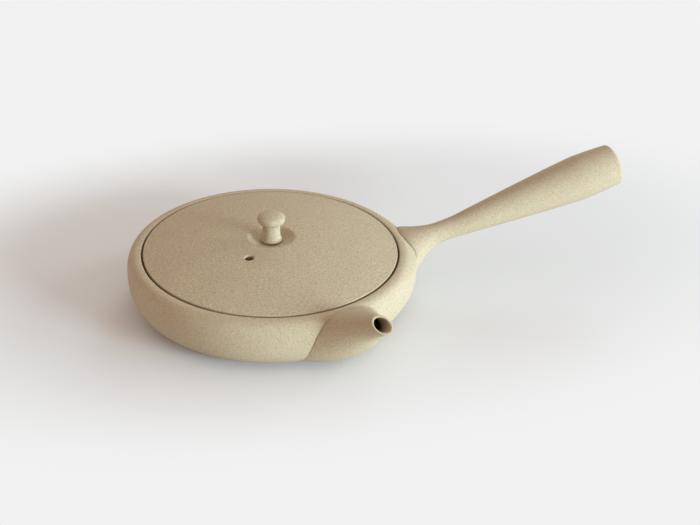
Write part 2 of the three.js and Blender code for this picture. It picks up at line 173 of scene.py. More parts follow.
# Handle: its root is where its axis meets the pot's greatest radius
HANDLE_RISE = math.radians(16.95)
HANDLE_ROOT_ABOVE_BELLY = 1.2
HANDLE_ROOT_HEIGHT = BELLY_HEIGHT + HANDLE_ROOT_ABOVE_BELLY
HANDLE_ROOT_DEPTH = 8.0
HANDLE_LENGTH = 111.1
HANDLE_NECK_RADIUS = 4.07
HANDLE_NECK_AT = 15.0
HANDLE_GRIP_RADIUS = 10.9
HANDLE_GRIP_AT = 91.5
HANDLE_GRIP_SWELL = 0.28
HANDLE_END_TAPER = 0.86
HANDLE_END_ROUND = 1.8
HANDLE_FLARE_LENGTH = 28.0
HANDLE_FLARE_SIDE, HANDLE_FLARE_SIDE_POWER = 12.0, 2.85
HANDLE_FLARE_TOP, HANDLE_FLARE_TOP_POWER = 4.1, 1.4
HANDLE_FLARE_BOTTOM, HANDLE_FLARE_BOTTOM_POWER = 8.1, 2.44
HANDLE_WALL = 3.1
HANDLE_MOUTH_ROUND, HANDLE_MOUTH_DEPTH = 0.8, 2.0
HANDLE_BORE_DEPTH = 74.5
HANDLE_BORE_TIP_RADIUS = 1.2

# Joins between luted pieces: a smeared fillet in places, a turned-in groove in others. The ranges say where
# round a limb each is found
SPOUT_FILLET = 1.6
SPOUT_GROOVE = 0.5
SPOUT_UNDER_FILLET = 5.0
HANDLE_FILLET = 3.0
HANDLE_GROOVE = 2.0
GROOVE_RUN = 2.2
LUTE_SINK = 0.6
LUTE_SOFTNESS = 0.6
LUTE_PROBE = 0.05
SPOUT_CRISP_SHARE, SPOUT_CRISP_SWING, SPOUT_CRISP_TURN = 0.55, 0.9, 0.3
SPOUT_UNDER_FROM, SPOUT_UNDER_FADE = 0.5, 0.45
HANDLE_FILLET_BELOW = 0.3
HANDLE_GROOVE_FROM, HANDLE_GROOVE_FADE = -0.15, 0.5

# Where along a limb its meeting with the pot is looked for, and how its rings crowd towards its tip
SPOUT_MEETS_FROM = -4.0
HANDLE_MEETS_FROM, HANDLE_MEETS_TO = 24.0, -12.0
MEETING_STEPS = 600
STATION_POWER = 1.3

ROUND_STEPS = 240
LIMB_STEPS = 120
KNOB_STEPS = 120
TRIM_STEPS = 160
DRILL_STEPS = 48
TRIM_RADIUS, TRIM_LOW, TRIM_HIGH = 90.0, -20.0, 60.0
NEARLY_NOTHING = 1e-3
SHARP_ANGLE = math.radians(40)


# Outlines, as arrays of (radius, height)
def bezier(points, steps):
    t = np.linspace(0, 1, steps + 1)[:, None]
    p0, p1, p2, p3 = np.array(points, float)
    return (1 - t) ** 3 * p0 + 3 * (1 - t) ** 2 * t * p1 + 3 * (1 - t) * t ** 2 * p2 + t ** 3 * p3


def quarter(start, end, steps, fullness=2.0):
    """A quarter ellipse that leaves start along the axis and reaches the level of end, squarer over 2."""
    turn = np.linspace(0, math.pi / 2, steps + 1)
    inward = np.clip(np.cos(turn), 0, 1) ** (2 / fullness)
    upward = np.clip(np.sin(turn), 0, 1) ** (2 / fullness)
    return np.column_stack([end[0] + (start[0] - end[0]) * inward, start[1] + (end[1] - start[1]) * upward])


def rounded(corner, before, after, size, steps=4):
    """A corner softened between the points before and after it."""
    corner, before, after = (np.array(p, float) for p in (corner, before, after))
    a = corner + (before - corner) / np.linalg.norm(before - corner) * size
    b = corner + (after - corner) / np.linalg.norm(after - corner) * size
    t = np.linspace(0, 1, steps + 1)[:, None]
    return (1 - t) ** 2 * a + 2 * (1 - t) * t * corner + t ** 2 * b


def outer_side():
    base = np.array([BASE_RADIUS, 0])
    reach = base + BELLY_REACH * np.array([math.cos(BASE_RISE), math.sin(BASE_RISE)])
    belly = [BODY_RADIUS, BELLY_HEIGHT]
    lower = bezier([base, reach, [BODY_RADIUS, BELLY_HEIGHT - BELLY_REACH], belly], 44)
    shoulder = quarter(belly, [CREST_RADIUS, CREST_HEIGHT], 40, SHOULDER_FULLNESS)
    return np.vstack([lower, shoulder[1:]])


def normals_of(line):
    """Unit normals of an outline, on its right-hand side as it runs."""
    run = np.gradient(line, axis=0)
    run /= np.linalg.norm(run, axis=1)[:, None]
    return np.column_stack([run[:, 1], -run[:, 0]])


SIDE = outer_side()
LIP = quarter([OPENING_RADIUS, CREST_HEIGHT - LIP_ROUND], [CREST_RADIUS, CREST_HEIGHT], 6)[::-1]
SURFACE = np.vstack([SIDE, LIP[1:]])
SURFACE_NORMALS = normals_of(SURFACE)


def inner_side(wall):
    side = SIDE - wall * normals_of(SIDE)
    top = min(BELLY_HEIGHT, LEDGE_UNDERSIDE - LEDGE_CORNER_HEIGHT)
    keep = (side[:, 1] > FLOOR_THICKNESS + FLOOR_CORNER_HEIGHT) & (side[:, 1] < top)
    return side[keep]


def pot_outline():
    inner = inner_side(BODY_WALL)[::-1]
    seat_out = [OPENING_RADIUS, SEAT_HEIGHT]
    seat_in = [LEDGE_RADIUS, SEAT_HEIGHT]
    ledge = [LEDGE_RADIUS, LEDGE_UNDERSIDE]
    floor = [inner[-1][0] - FLOOR_CORNER, FLOOR_THICKNESS]
    return np.vstack([
        [[0, 0]], rounded([BASE_RADIUS, 0], [0, 0], SIDE[1], BASE_EDGE_ROUND), SIDE[2:], LIP[1:],
        rounded(seat_out, LIP[-1], seat_in, EDGE_SOFTNESS),
        rounded(seat_in, seat_out, ledge, EDGE_SOFTNESS),
        rounded(ledge, seat_in, inner[0], EDGE_SOFTNESS),
        inner,
        rounded(floor, inner[-1], [0, FLOOR_THICKNESS], FLOOR_ROUND, 8),
        [[0, FLOOR_THICKNESS]],
    ])


def lid_top(radius):
    return LID_EDGE_HEIGHT + LID_RISE * (1 - (radius / LID_RADIUS) ** 2)


def lid_outline():
    edge_start = LID_RADIUS - LID_EDGE_ROUND
    inner = FLANGE_RADIUS - FLANGE_WALL
    bottom = FLANGE_BOTTOM - LID_SEAT
    under = np.linspace(0, inner - FLANGE_ROOT, 16)
    underside = np.column_stack([under, lid_top(under) - LID_THICKNESS])
    root = [inner, lid_top(inner) - LID_THICKNESS]
    foot_in, foot_out = [inner, bottom], [FLANGE_RADIUS, bottom]
    arm, brim = [FLANGE_RADIUS, 0], [LID_RADIUS, 0]
    edge = quarter([LID_RADIUS, lid_top(edge_start) - LID_EDGE_ROUND], [edge_start, lid_top(edge_start)], 8)
    rim_start = DIMPLE_RADIUS + DIMPLE_RIM_WIDTH
    across = np.linspace(edge_start, rim_start, 34)
    rim = [DIMPLE_RADIUS, lid_top(DIMPLE_RADIUS)]
    into = np.linspace(DIMPLE_RADIUS - DIMPLE_RIM_INSET, DIMPLE_FLAT_RADIUS, 30)
    floor = lid_top(DIMPLE_RADIUS) - DIMPLE_DEPTH
    dish = np.column_stack([into, floor + DIMPLE_DEPTH * (into / DIMPLE_RADIUS) ** DIMPLE_POWER])
    return np.vstack([
        underside, rounded(root, underside[-1], foot_in, FLANGE_ROOT_ROUND, 6),
        rounded(foot_in, root, foot_out, EDGE_SOFTNESS), rounded(foot_out, foot_in, arm, EDGE_SOFTNESS),
        rounded(arm, foot_out, brim, FLANGE_ARM_ROUND, 2), rounded(brim, arm, edge[0], LID_BRIM_ROUND), edge,
        np.column_stack([across, lid_top(across)])[1:],
        rounded(rim, [rim_start, lid_top(rim_start)], dish[0], DIMPLE_RIM_ROUND), dish, [[0, floor]],
    ])


def knob_outline():
    top = KNOB_TOP - KNOB_FOOT
    head = [KNOB_HEAD_RADIUS, top - KNOB_CROWN]
    collar = [KNOB_COLLAR_RADIUS, KNOB_COLLAR_HEIGHT]
    foot_edge = [KNOB_FOOT_RADIUS, KNOB_FOOT_EDGE]
    waist = [[KNOB_NECK_RADIUS, KNOB_NECK_START], [KNOB_NECK_RADIUS, KNOB_NECK_END]]
    neck = bezier([foot_edge, *waist, collar], 28)
    under_head = quarter(head, collar, 16)[::-1]
    crown = quarter(head, [0, top], 22, KNOB_CROWN_FULLNESS)
    foot = rounded([KNOB_FOOT_RADIUS, -KNOB_SINK], [0, -KNOB_SINK], neck[0], EDGE_SOFTNESS)
    return np.vstack([[[0, -KNOB_SINK]], foot, neck, under_head[1:], crown[1:]])


# Meshes
def new_object(name, verts, faces):
    mesh = bpy.data.meshes.new(name)
    mesh.from_pydata([tuple(v) for v in verts], [], faces)
    mesh.validate()
    obj = bpy.data.objects.new(name, mesh)
    bpy.context.scene.collection.objects.link(obj)
    return obj


def object_of(name, mesh):
    """An object in the scene from a bmesh, which is freed."""
    data = bpy.data.meshes.new(name)
    mesh.to_mesh(data)
    mesh.free()
    obj = bpy.data.objects.new(name, data)
    bpy.context.scene.collection.objects.link(obj)
    return obj


def bridge(first, second, count):
    """Quads between two rings of count vertices that start at the given indices."""
    return [(first + i, first + (i + 1) % count, second + (i + 1) % count, second + i) for i in range(count)]


def fan(centre, ring, count, flip):
    faces = [(centre, ring + (i + 1) % count, ring + i) for i in range(count)]
    return [tuple(reversed(f)) for f in faces] if flip else faces


def ringed(name, rings, start_pole=None, end_pole=None, closed=False):
    """A closed mesh from rings of points in order, with a pole at either end or the ends joined."""
    count = len(rings[0])
    verts = [tuple(p) for ring in rings for p in ring]
    faces = []
    for i in range(len(rings) - 1):
        faces += bridge(i * count, (i + 1) * count, count)
    if closed:
        faces += bridge((len(rings) - 1) * count, 0, count)
    if start_pole is not None:
        verts.append(tuple(start_pole))
        faces += fan(len(verts) - 1, 0, count, flip=False)
    if end_pole is not None:
        verts.append(tuple(end_pole))
        faces += fan(len(verts) - 1, (len(rings) - 1) * count, count, flip=True)
    obj = new_object(name, verts, faces)
    tidy_normals(obj)
    return obj


def tidy_normals(obj):
    mesh = bmesh.new()
    mesh.from_mesh(obj.data)
    bmesh.ops.remove_doubles(mesh, verts=mesh.verts, dist=1e-7)
    bmesh.ops.recalc_face_normals(mesh, faces=mesh.faces)
    mesh.to_mesh(obj.data)
    mesh.free()


def turned(name, outline, height=0.0, steps=ROUND_STEPS):
    """A solid of revolution about +Z from an outline in millimetres that starts and ends on the axis."""
    turn = np.linspace(0, 2 * math.pi, steps, endpoint=False)
    lift = height * MM
    rings = []
    for radius, z in outline[1:-1]:
        ring = np.column_stack([radius * np.cos(turn), radius * np.sin(turn), np.full(steps, z)]) * MM
        rings.append(ring + [0, 0, lift])
    start = (0, 0, outline[0][1] * MM + lift)
    end = (0, 0, outline[-1][1] * MM + lift)
    return ringed(name, rings, start_pole=start, end_pole=end)


def cut(obj, tool):
    """Cuts tool out of obj and deletes tool."""
    modifier = obj.modifiers.new("cut", "BOOLEAN")
    modifier.operation = "DIFFERENCE"
    modifier.solver = "EXACT"
    modifier.object = tool
    graph = bpy.context.evaluated_depsgraph_get()
    mesh = bpy.data.meshes.new_from_object(obj.evaluated_get(graph))
    obj.modifiers.clear()
    obj.data = mesh
    bpy.data.objects.remove(tool)


def smooth(obj):
    for polygon in obj.data.polygons:
        polygon.use_smooth = True
    obj.data.set_sharp_from_angle(angle=SHARP_ANGLE)


# Limbs: the spout and the handle, each on its own axis
def axis_frame(azimuth, rise, from_axis, height):
    axis = np.array([math.cos(azimuth) * math.cos(rise), math.sin(azimuth) * math.cos(rise), math.sin(rise)])
    side = np.array([math.sin(azimuth), -math.cos(azimuth), 0.0])
    up = np.cross(side, axis)
    origin = np.array([from_axis * math.cos(azimuth), from_axis * math.sin(azimuth), height])
    return side, axis, up, origin


def place(axes, across, along, above):
    side, axis, up, origin = axes
    across, along, above = (np.asarray(v, float)[..., None] for v in (across, along, above))
    return origin + across * side + along * axis + above * up


TURN = np.linspace(0, 2 * math.pi, LIMB_STEPS, endpoint=False)


def limb_points(axes, along, sizes, shift=None):
    """One ring of a limb's surface; along is one number or one for each of the ring's points."""
    along = np.broadcast_to(np.asarray(along, float), TURN.shape)
    side, top, bottom, square = sizes(along)
    upward, outward = np.sin(TURN), np.cos(TURN)
    upward = np.sign(upward) * np.abs(upward) ** (1 - square)
    outward = np.sign(outward) * np.abs(outward) ** (1 - square)
    above = np.where(upward > 0, top, bottom) * upward
    moved = along + (shift(along, above) if shift else 0)
    return place(axes, side * outward, moved, above)


def eased(share):
    share = np.clip(share, 0, 1)
    return share * share * (3 - 2 * share)


def pad(points):
    """Thickness of the clay built up round the handle's root, at points on the pot's outer side."""
    x, y, z = points[..., 0], points[..., 1], points[..., 2]
    across = eased(1 - (y / PAD_HALF_WIDTH) ** 2) * (x > 0)
    upper = eased((PAD_TOP - z) / PAD_TOP_FADE)
    lower = eased((z - PAD_BOTTOM) / PAD_BOTTOM_FADE)
    return PAD_THICKNESS * across * upper * lower


def surface_radius(points):
    """The pot's outer radius at the height of points, pad included; straight up over the crest."""
    height = points[..., 2]
    radius = np.interp(height, SIDE[:, 1], SIDE[:, 0])
    return np.where(height > CREST_HEIGHT, CREST_RADIUS, radius) + pad(points)


def meeting(axes, sizes, start, end, shift=None):
    """For each point round a limb, where along it meets the pot's surface, from start inwards to end.

    A point that never meets it gets end.
    """
    stations = np.linspace(start, end, MEETING_STEPS)
    found = np.full(TURN.shape, float(end))
    met = np.zeros(TURN.shape, bool)
    last = None
    for before, after in zip(stations[:-1], stations[1:]):
        p = limb_points(axes, after, sizes, shift)
        depth = np.hypot(p[:, 0], p[:, 1]) - surface_radius(p)
        if last is None:
            last = np.maximum(depth, 0)
        crossing = ~met & (depth < 0)
        share = last / np.maximum(last - depth, 1e-9)
        found = np.where(crossing, before + (after - before) * share, found)
        met |= crossing
        last = depth
    return found


def on_pot(points):
    """The nearest points on the pot's outer surface, pad included, and the surface's normals there."""
    flat = points.reshape(-1, 3)
    radius = np.hypot(flat[:, 0], flat[:, 1])
    lifted = radius - pad(flat)
    a, b = SURFACE[:-1], SURFACE[1:]
    run = b - a
    nearest = np.zeros((len(flat), 2))
    normal = np.zeros((len(flat), 2))
    for i, (r, z) in enumerate(zip(lifted, flat[:, 2])):
        q = np.array([r, z])
        t = np.clip(((q - a) * run).sum(1) / (run ** 2).sum(1), 0, 1)
        on = a + t[:, None] * run
        k = np.argmin(((q - on) ** 2).sum(1))
        nearest[i] = on[k]
        between = SURFACE_NORMALS[k] * (1 - t[k]) + SURFACE_NORMALS[k + 1] * t[k]
        normal[i] = between / np.linalg.norm(between)
    away = flat[:, :2] / radius[:, None]
    spot = np.column_stack([away * (nearest[:, :1] + pad(flat)[:, None]), nearest[:, 1]])
    out = np.column_stack([away * normal[:, :1], normal[:, 1]])
    return spot.reshape(points.shape), out.reshape(points.shape)


def lute(axes, sizes, meets, fillet, groove, shift=None, steps=10):
    """Rings of the join where a limb meets the pot, ending sunk in the pot's wall.

    Round the limb, fillet is how far it is smeared out over the pot, and groove how far its edge turns in.
    """
    first = meets + fillet + GROOVE_RUN * groove
    start = limb_points(axes, first, sizes, shift)
    inward = limb_points(axes, first - LUTE_PROBE, sizes, shift) - start
    inward /= np.linalg.norm(inward, axis=1)[:, None]
    corner = limb_points(axes, meets, sizes, shift)
    spread = corner - corner.mean(0)
    _, normal = on_pot(corner)
    spread -= (spread * normal).sum(1)[:, None] * normal
    spread /= np.linalg.norm(spread, axis=1)[:, None]
    end, end_normal = on_pot(corner + (fillet - groove)[:, None] * spread)
    leaving = start + LUTE_SOFTNESS * np.linalg.norm(corner - start, axis=1)[:, None] * inward
    arriving = end + LUTE_SOFTNESS * (corner - end)
    rings = []
    for t in np.linspace(0, 1, steps + 1):
        ring = (1 - t) ** 3 * start + 3 * (1 - t) ** 2 * t * leaving
        rings.append(ring + 3 * (1 - t) * t ** 2 * arriving + t ** 3 * end)
    rings.append(end - LUTE_SINK * end_normal)
    return rings


def spout_sizes(along, wall=0.0):
    inward = np.clip(-along / SPOUT_LENGTH, 0, 1)
    side = SPOUT_TIP_RADIUS + (SPOUT_ROOT_HALF_WIDTH - SPOUT_TIP_RADIUS) * inward ** SPOUT_SIDE_POWER
    top = SPOUT_TIP_RADIUS + (SPOUT_ROOT_HALF_HEIGHT - SPOUT_TIP_RADIUS) * inward ** SPOUT_TOP_POWER
    belly = inward ** SPOUT_BELLY_POWER * (1 - SPOUT_BELLY_RETURN * inward ** 2)
    bottom = SPOUT_TIP_RADIUS + SPOUT_BELLY * belly
    return side - wall, top - wall, bottom - wall, SPOUT_SQUARENESS * inward


def spout_shift(along, above):
    blend = np.clip(1 + along / SPOUT_MOUTH_BLEND, 0, 1)
    return -above * math.tan(SPOUT_MOUTH_TILT) * blend ** 2


def bore_sizes(along):
    thin = SPOUT_TIP_RADIUS - SPOUT_BORE_RADIUS
    wall = thin + (SPOUT_WALL - thin) * np.clip(-along / SPOUT_MOUTH_BLEND, 0, 1)
    return spout_sizes(along, wall)


def disc(radius):
    """Half sizes of a round limb."""
    return lambda along: (radius * np.ones_like(along),) * 3 + (0.0,)


def make_spout():
    axes = axis_frame(SPOUT_AZIMUTH, SPOUT_RISE, SPOUT_TIP_FROM_AXIS, SPOUT_TIP_HEIGHT)
    lip = (SPOUT_TIP_RADIUS - SPOUT_BORE_RADIUS) / 2
    meets = meeting(axes, spout_sizes, SPOUT_MEETS_FROM, -SPOUT_LENGTH, spout_shift)
    inner_meets = meeting(axes, bore_sizes, SPOUT_MEETS_FROM, -SPOUT_LENGTH, spout_shift)
    under = eased((-np.sin(TURN) - SPOUT_UNDER_FROM) / SPOUT_UNDER_FADE)
    crisp = eased(SPOUT_CRISP_SHARE + SPOUT_CRISP_SWING * np.cos(TURN - SPOUT_CRISP_TURN)) * (1 - under)
    fillet = SPOUT_FILLET * (1 - crisp) + SPOUT_UNDER_FILLET * under
    groove = SPOUT_GROOVE * crisp
    outer_start = meets + fillet + GROOVE_RUN * groove
    rings = []
    for share in np.linspace(1, 0, 30):
        along = (inner_meets - LUTE_SINK + lip) * share ** STATION_POWER - lip
        rings.append(limb_points(axes, along, bore_sizes, spout_shift))
    for turn in np.linspace(0, math.pi, 11)[1:-1]:
        bead = disc(SPOUT_BORE_RADIUS + lip - lip * math.cos(turn))
        rings.append(limb_points(axes, -lip + lip * math.sin(turn), bead, spout_shift))
    for share in np.linspace(0, 1, 50):
        along = -lip + (outer_start + lip) * share ** STATION_POWER
        rings.append(limb_points(axes, along, spout_sizes, spout_shift))
    rings += lute(axes, spout_sizes, meets, fillet, groove, spout_shift)[1:]
    return ringed("spout_cone", np.array(rings) * MM, closed=True)


def handle_sizes(along, wall=0.0):
    flare = np.clip(1 - along / HANDLE_FLARE_LENGTH, 0, None)
    reach = np.clip((along - HANDLE_NECK_AT) / (HANDLE_GRIP_AT - HANDLE_NECK_AT), 0, 1)
    swell = reach + HANDLE_GRIP_SWELL * reach ** 2 * (1 - reach)
    past = np.clip((along - HANDLE_GRIP_AT) / (HANDLE_LENGTH - HANDLE_GRIP_AT), 0, None)
    grip = (HANDLE_GRIP_RADIUS - HANDLE_NECK_RADIUS) * swell
    core = HANDLE_NECK_RADIUS + grip - HANDLE_END_TAPER * past ** 2 - wall
    return (core + HANDLE_FLARE_SIDE * flare ** HANDLE_FLARE_SIDE_POWER,
            core + HANDLE_FLARE_TOP * flare ** HANDLE_FLARE_TOP_POWER,
            core + HANDLE_FLARE_BOTTOM * np.minimum(flare, 1) ** HANDLE_FLARE_BOTTOM_POWER, 0.0)


def make_handle():
    axes = axis_frame(0.0, HANDLE_RISE, BODY_RADIUS, HANDLE_ROOT_HEIGHT)
    meets = meeting(axes, handle_sizes, HANDLE_MEETS_FROM, HANDLE_MEETS_TO)
    upward = np.sin(TURN)
    fillet = HANDLE_FILLET * eased(HANDLE_FILLET_BELOW - upward)
    groove = HANDLE_GROOVE * eased((upward - HANDLE_GROOVE_FROM) / HANDLE_GROOVE_FADE)
    first = meets + fillet + GROOVE_RUN * groove
    straight = HANDLE_LENGTH - HANDLE_END_ROUND
    rings = lute(axes, handle_sizes, meets, fillet, groove)[::-1][:-1]
    for share in np.linspace(0, 1, 100):
        rings.append(limb_points(axes, first + (straight - first) * share, handle_sizes))
    end_radius = handle_sizes(np.array(straight))[0]
    for turn in np.linspace(0, math.pi / 2, 9)[1:]:
        edge = disc(end_radius - HANDLE_END_ROUND * (1 - math.cos(turn)))
        rings.append(limb_points(axes, straight + HANDLE_END_ROUND * math.sin(turn), edge))
    bore_start = HANDLE_LENGTH - HANDLE_BORE_DEPTH
    for share in np.linspace(0, 1, 40):
        along = HANDLE_LENGTH - HANDLE_BORE_DEPTH * share
        radius = float(handle_sizes(np.array(along), HANDLE_WALL)[0])
        radius += HANDLE_MOUTH_ROUND * max(1 - share * HANDLE_BORE_DEPTH / HANDLE_MOUTH_DEPTH, 0) ** 2
        rings.append(limb_points(axes, along, disc(HANDLE_BORE_TIP_RADIUS if share == 1 else radius)))
    _, axis, _, origin = axes
    start = (origin - HANDLE_ROOT_DEPTH * axis) * MM
    end = (origin + bore_start * axis) * MM
    return ringed("side_handle", np.array(rings) * MM, start_pole=start, end_pole=end)


def strainer_frame():
    return axis_frame(SPOUT_AZIMUTH, 0.0, STRAINER_FROM_AXIS, STRAINER_HEIGHT)


def matrix_of(axes):
    side, axis, up, origin = axes
    columns = Matrix((side, axis, up)).transposed().to_4x4()
    return Matrix.Translation(Vector(origin * MM)) @ columns


def bulb(name, wall):
    """The strainer's ball before it is cut by the pot's wall, thinner by wall."""
    mesh = bmesh.new()
    bmesh.ops.create_uvsphere(mesh, u_segments=72, v_segments=40, radius=MM)
    sizes = (STRAINER_HALF_WIDTH - wall, STRAINER_DEPTH - wall, STRAINER_HALF_HEIGHT - wall)
    bmesh.ops.scale(mesh, vec=sizes, verts=mesh.verts)
    bmesh.ops.transform(mesh, matrix=matrix_of(strainer_frame()), verts=mesh.verts)
    return object_of(name, mesh)


def strainer_drills():
    """All the strainer's holes as one object, each square to the dome."""
    mesh = bmesh.new()
    sizes = Vector((STRAINER_HALF_WIDTH, STRAINER_DEPTH, STRAINER_HALF_HEIGHT))
    base = matrix_of(strainer_frame())
    for ring in range(STRAINER_RINGS + 1):
        count = max(ring * STRAINER_HOLES_PER_RING, 1)
        tilt = ring * STRAINER_RING_STEP
        for i in range(count):
            turn = (i + 0.5) / count * 2 * math.pi
            unit = Vector((math.sin(tilt) * math.cos(turn), -math.cos(tilt), math.sin(tilt) * math.sin(turn)))
            normal = Vector([u / s for u, s in zip(unit, sizes)]).normalized()
            spot = Vector([u * s for u, s in zip(unit, sizes)]) * MM
            local = Matrix.Translation(spot) @ normal.to_track_quat("Z", "Y").to_matrix().to_4x4()
            radius = STRAINER_HOLE_RADIUS * MM
            bmesh.ops.create_cone(mesh, cap_ends=True, segments=16, radius1=radius, radius2=radius,
                                  depth=STRAINER_DRILL_WALLS * STRAINER_WALL * MM, matrix=base @ local)
    return object_of("drills", mesh)


def pot_hollow(clearance):
    """Everything round the pot's hollow, drawn in by a clearance, to trim what stands on the inner wall."""
    inner = inner_side(BODY_WALL + clearance)
    floor = FLOOR_THICKNESS + clearance
    roof = LEDGE_UNDERSIDE - clearance
    outline = np.vstack([
        [[0, TRIM_LOW], [TRIM_RADIUS, TRIM_LOW], [TRIM_RADIUS, TRIM_HIGH], [0, TRIM_HIGH]],
        [[0, roof], [LEDGE_RADIUS, roof]],
        inner[::-1], [[inner[0][0] - FLOOR_CORNER, floor], [0, floor]],
    ])
    turn = np.linspace(0, 2 * math.pi, TRIM_STEPS, endpoint=False)
    rings = []
    for radius, z in outline:
        r = max(radius, NEARLY_NOTHING)
        rings.append(np.column_stack([r * np.cos(turn), r * np.sin(turn), np.full(TRIM_STEPS, z)]) * MM)
    return ringed("trim", rings, closed=True)


def make_strainer():
    shell = bulb("leaf_strainer", 0.0)
    cut(shell, bulb("inside", STRAINER_WALL))
    cut(shell, pot_hollow(STRAINER_TRIM_GAP))
    cut(shell, strainer_drills())
    return shell


def port_drill():
    mesh = bmesh.new()
    inset = STRAINER_WALL + PORT_MARGIN
    bmesh.ops.create_cone(mesh, cap_ends=True, segments=64, radius1=MM, radius2=MM,
                          depth=PORT_DRILL_LENGTH * MM)
    bmesh.ops.rotate(mesh, matrix=Matrix.Rotation(math.pi / 2, 3, "X"), verts=mesh.verts)
    sizes = (STRAINER_HALF_WIDTH - inset, 1, STRAINER_HALF_HEIGHT - inset)
    bmesh.ops.scale(mesh, vec=sizes, verts=mesh.verts)
    bmesh.ops.transform(mesh, matrix=matrix_of(strainer_frame()), verts=mesh.verts)
    return object_of("port", mesh)


def make_pot():
    pot = turned("pot_shell", pot_outline())
    verts = np.array([v.co[:] for v in pot.data.vertices]) / MM
    radius = np.hypot(verts[:, 0], verts[:, 1])
    outside = radius > surface_radius(verts) - pad(verts) - SURFACE_TOLERANCE
    push = np.where(outside, pad(verts), 0) / np.maximum(radius, 1)
    for vertex, scale in zip(pot.data.vertices, 1 + push):
        vertex.co.x *= scale
        vertex.co.y *= scale
    cut(pot, port_drill())
    return pot


def make_lid():
    lid = turned("lid_disc", lid_outline(), LID_SEAT)
    surface = lid_top(VENT_FROM_CENTRE) + VENT_LIFT
    turn = np.linspace(0, math.pi / 2, 9)
    flare = np.column_stack([1 - np.cos(turn), np.sin(turn) - 1]) * VENT_ROUND + [VENT_RADIUS, surface]
    deep = surface - LID_THICKNESS - VENT_DRILL_BELOW
    high = surface + VENT_DRILL_ABOVE
    low_end, high_end = [[0, deep], [VENT_MOUTH, deep]], [[VENT_RADIUS + VENT_ROUND, high], [0, high]]
    drill = turned("drill", np.vstack([low_end, flare, high_end]), LID_SEAT, steps=DRILL_STEPS)
    drill.data.transform(Matrix.Translation(Vector((*VENT_CENTRE, 0)) * MM))
    cut(lid, drill)
    return lid


def make_knob():
    return turned("lid_knob", knob_outline(), KNOB_FOOT, steps=KNOB_STEPS)


# Materials
def node(tree, kind, **inputs):
    made = tree.nodes.new(kind)
    for name, value in inputs.items():
        made.inputs[name.replace("_", " ")].default_value = value
    return made


def feed(tree, target, value):
    """Links value to target where it is another node's output, or else sets it."""
    if isinstance(value, bpy.types.NodeSocket):
        tree.links.new(value, target)
    else:
        target.default_value = value


def ramp(tree, source, low, high):
    """A factor that goes from 0 to 1 as source goes from low to high."""
    made = tree.nodes.new("ShaderNodeMapRange")
    made.interpolation_type = "SMOOTHSTEP"
    made.inputs["From Min"].default_value = low
    made.inputs["From Max"].default_value = high
    tree.links.new(source, made.inputs["Value"])
    return made.outputs["Result"]


def mixed(tree, factor, first, second):
    made = tree.nodes.new("ShaderNodeMix")
    made.data_type = "RGBA"
    for socket, value in (("Factor", factor), ("A", first), ("B", second)):
        kind = "VALUE" if socket == "Factor" else "RGBA"
        feed(tree, next(s for s in made.inputs if s.name == socket and s.type == kind), value)
    return next(s for s in made.outputs if s.type == "RGBA")


def maths(tree, kind, operation, *values):
    """A maths node of a kind, fed with values."""
    made = tree.nodes.new(kind)
    made.operation = operation
    for target, value in zip(made.inputs, values):
        feed(tree, target, value)
    return made


def times(tree, first, second):
    return maths(tree, "ShaderNodeMath", "MULTIPLY", first, second).outputs[0]


def vector(tree, operation, *values):
    return maths(tree, "ShaderNodeVectorMath", operation, *values).outputs["Vector"]


def length(tree, value):
    return maths(tree, "ShaderNodeVectorMath", "LENGTH", value).outputs["Value"]


def scaled(colour, red, green, blue):
    return (colour[0] * red, colour[1] * green, colour[2] * blue, 1.0)


def painted_shade_ring(tree, coords, centre, rise, fall, top):
    """1 in a ring about an upright axis and below a height, in millimetres, and 0 elsewhere: where shade is
    painted into the clay.

    rise and fall are the inner and outer edges, and top the height, each as where it is 0 and where it is 1.
    """
    away = vector(tree, "SUBTRACT", coords, (centre[0] * MM, centre[1] * MM, 0))
    radius = length(tree, vector(tree, "MULTIPLY", away, (1, 1, 0)))
    height = tree.nodes.new("ShaderNodeSeparateXYZ")
    tree.links.new(coords, height.inputs[0])
    inner = ramp(tree, radius, rise[0] * MM, rise[1] * MM)
    outer = ramp(tree, radius, fall[0] * MM, fall[1] * MM)
    below = ramp(tree, height.outputs["Z"], top[0] * MM, top[1] * MM)
    return times(tree, times(tree, inner, outer), below)


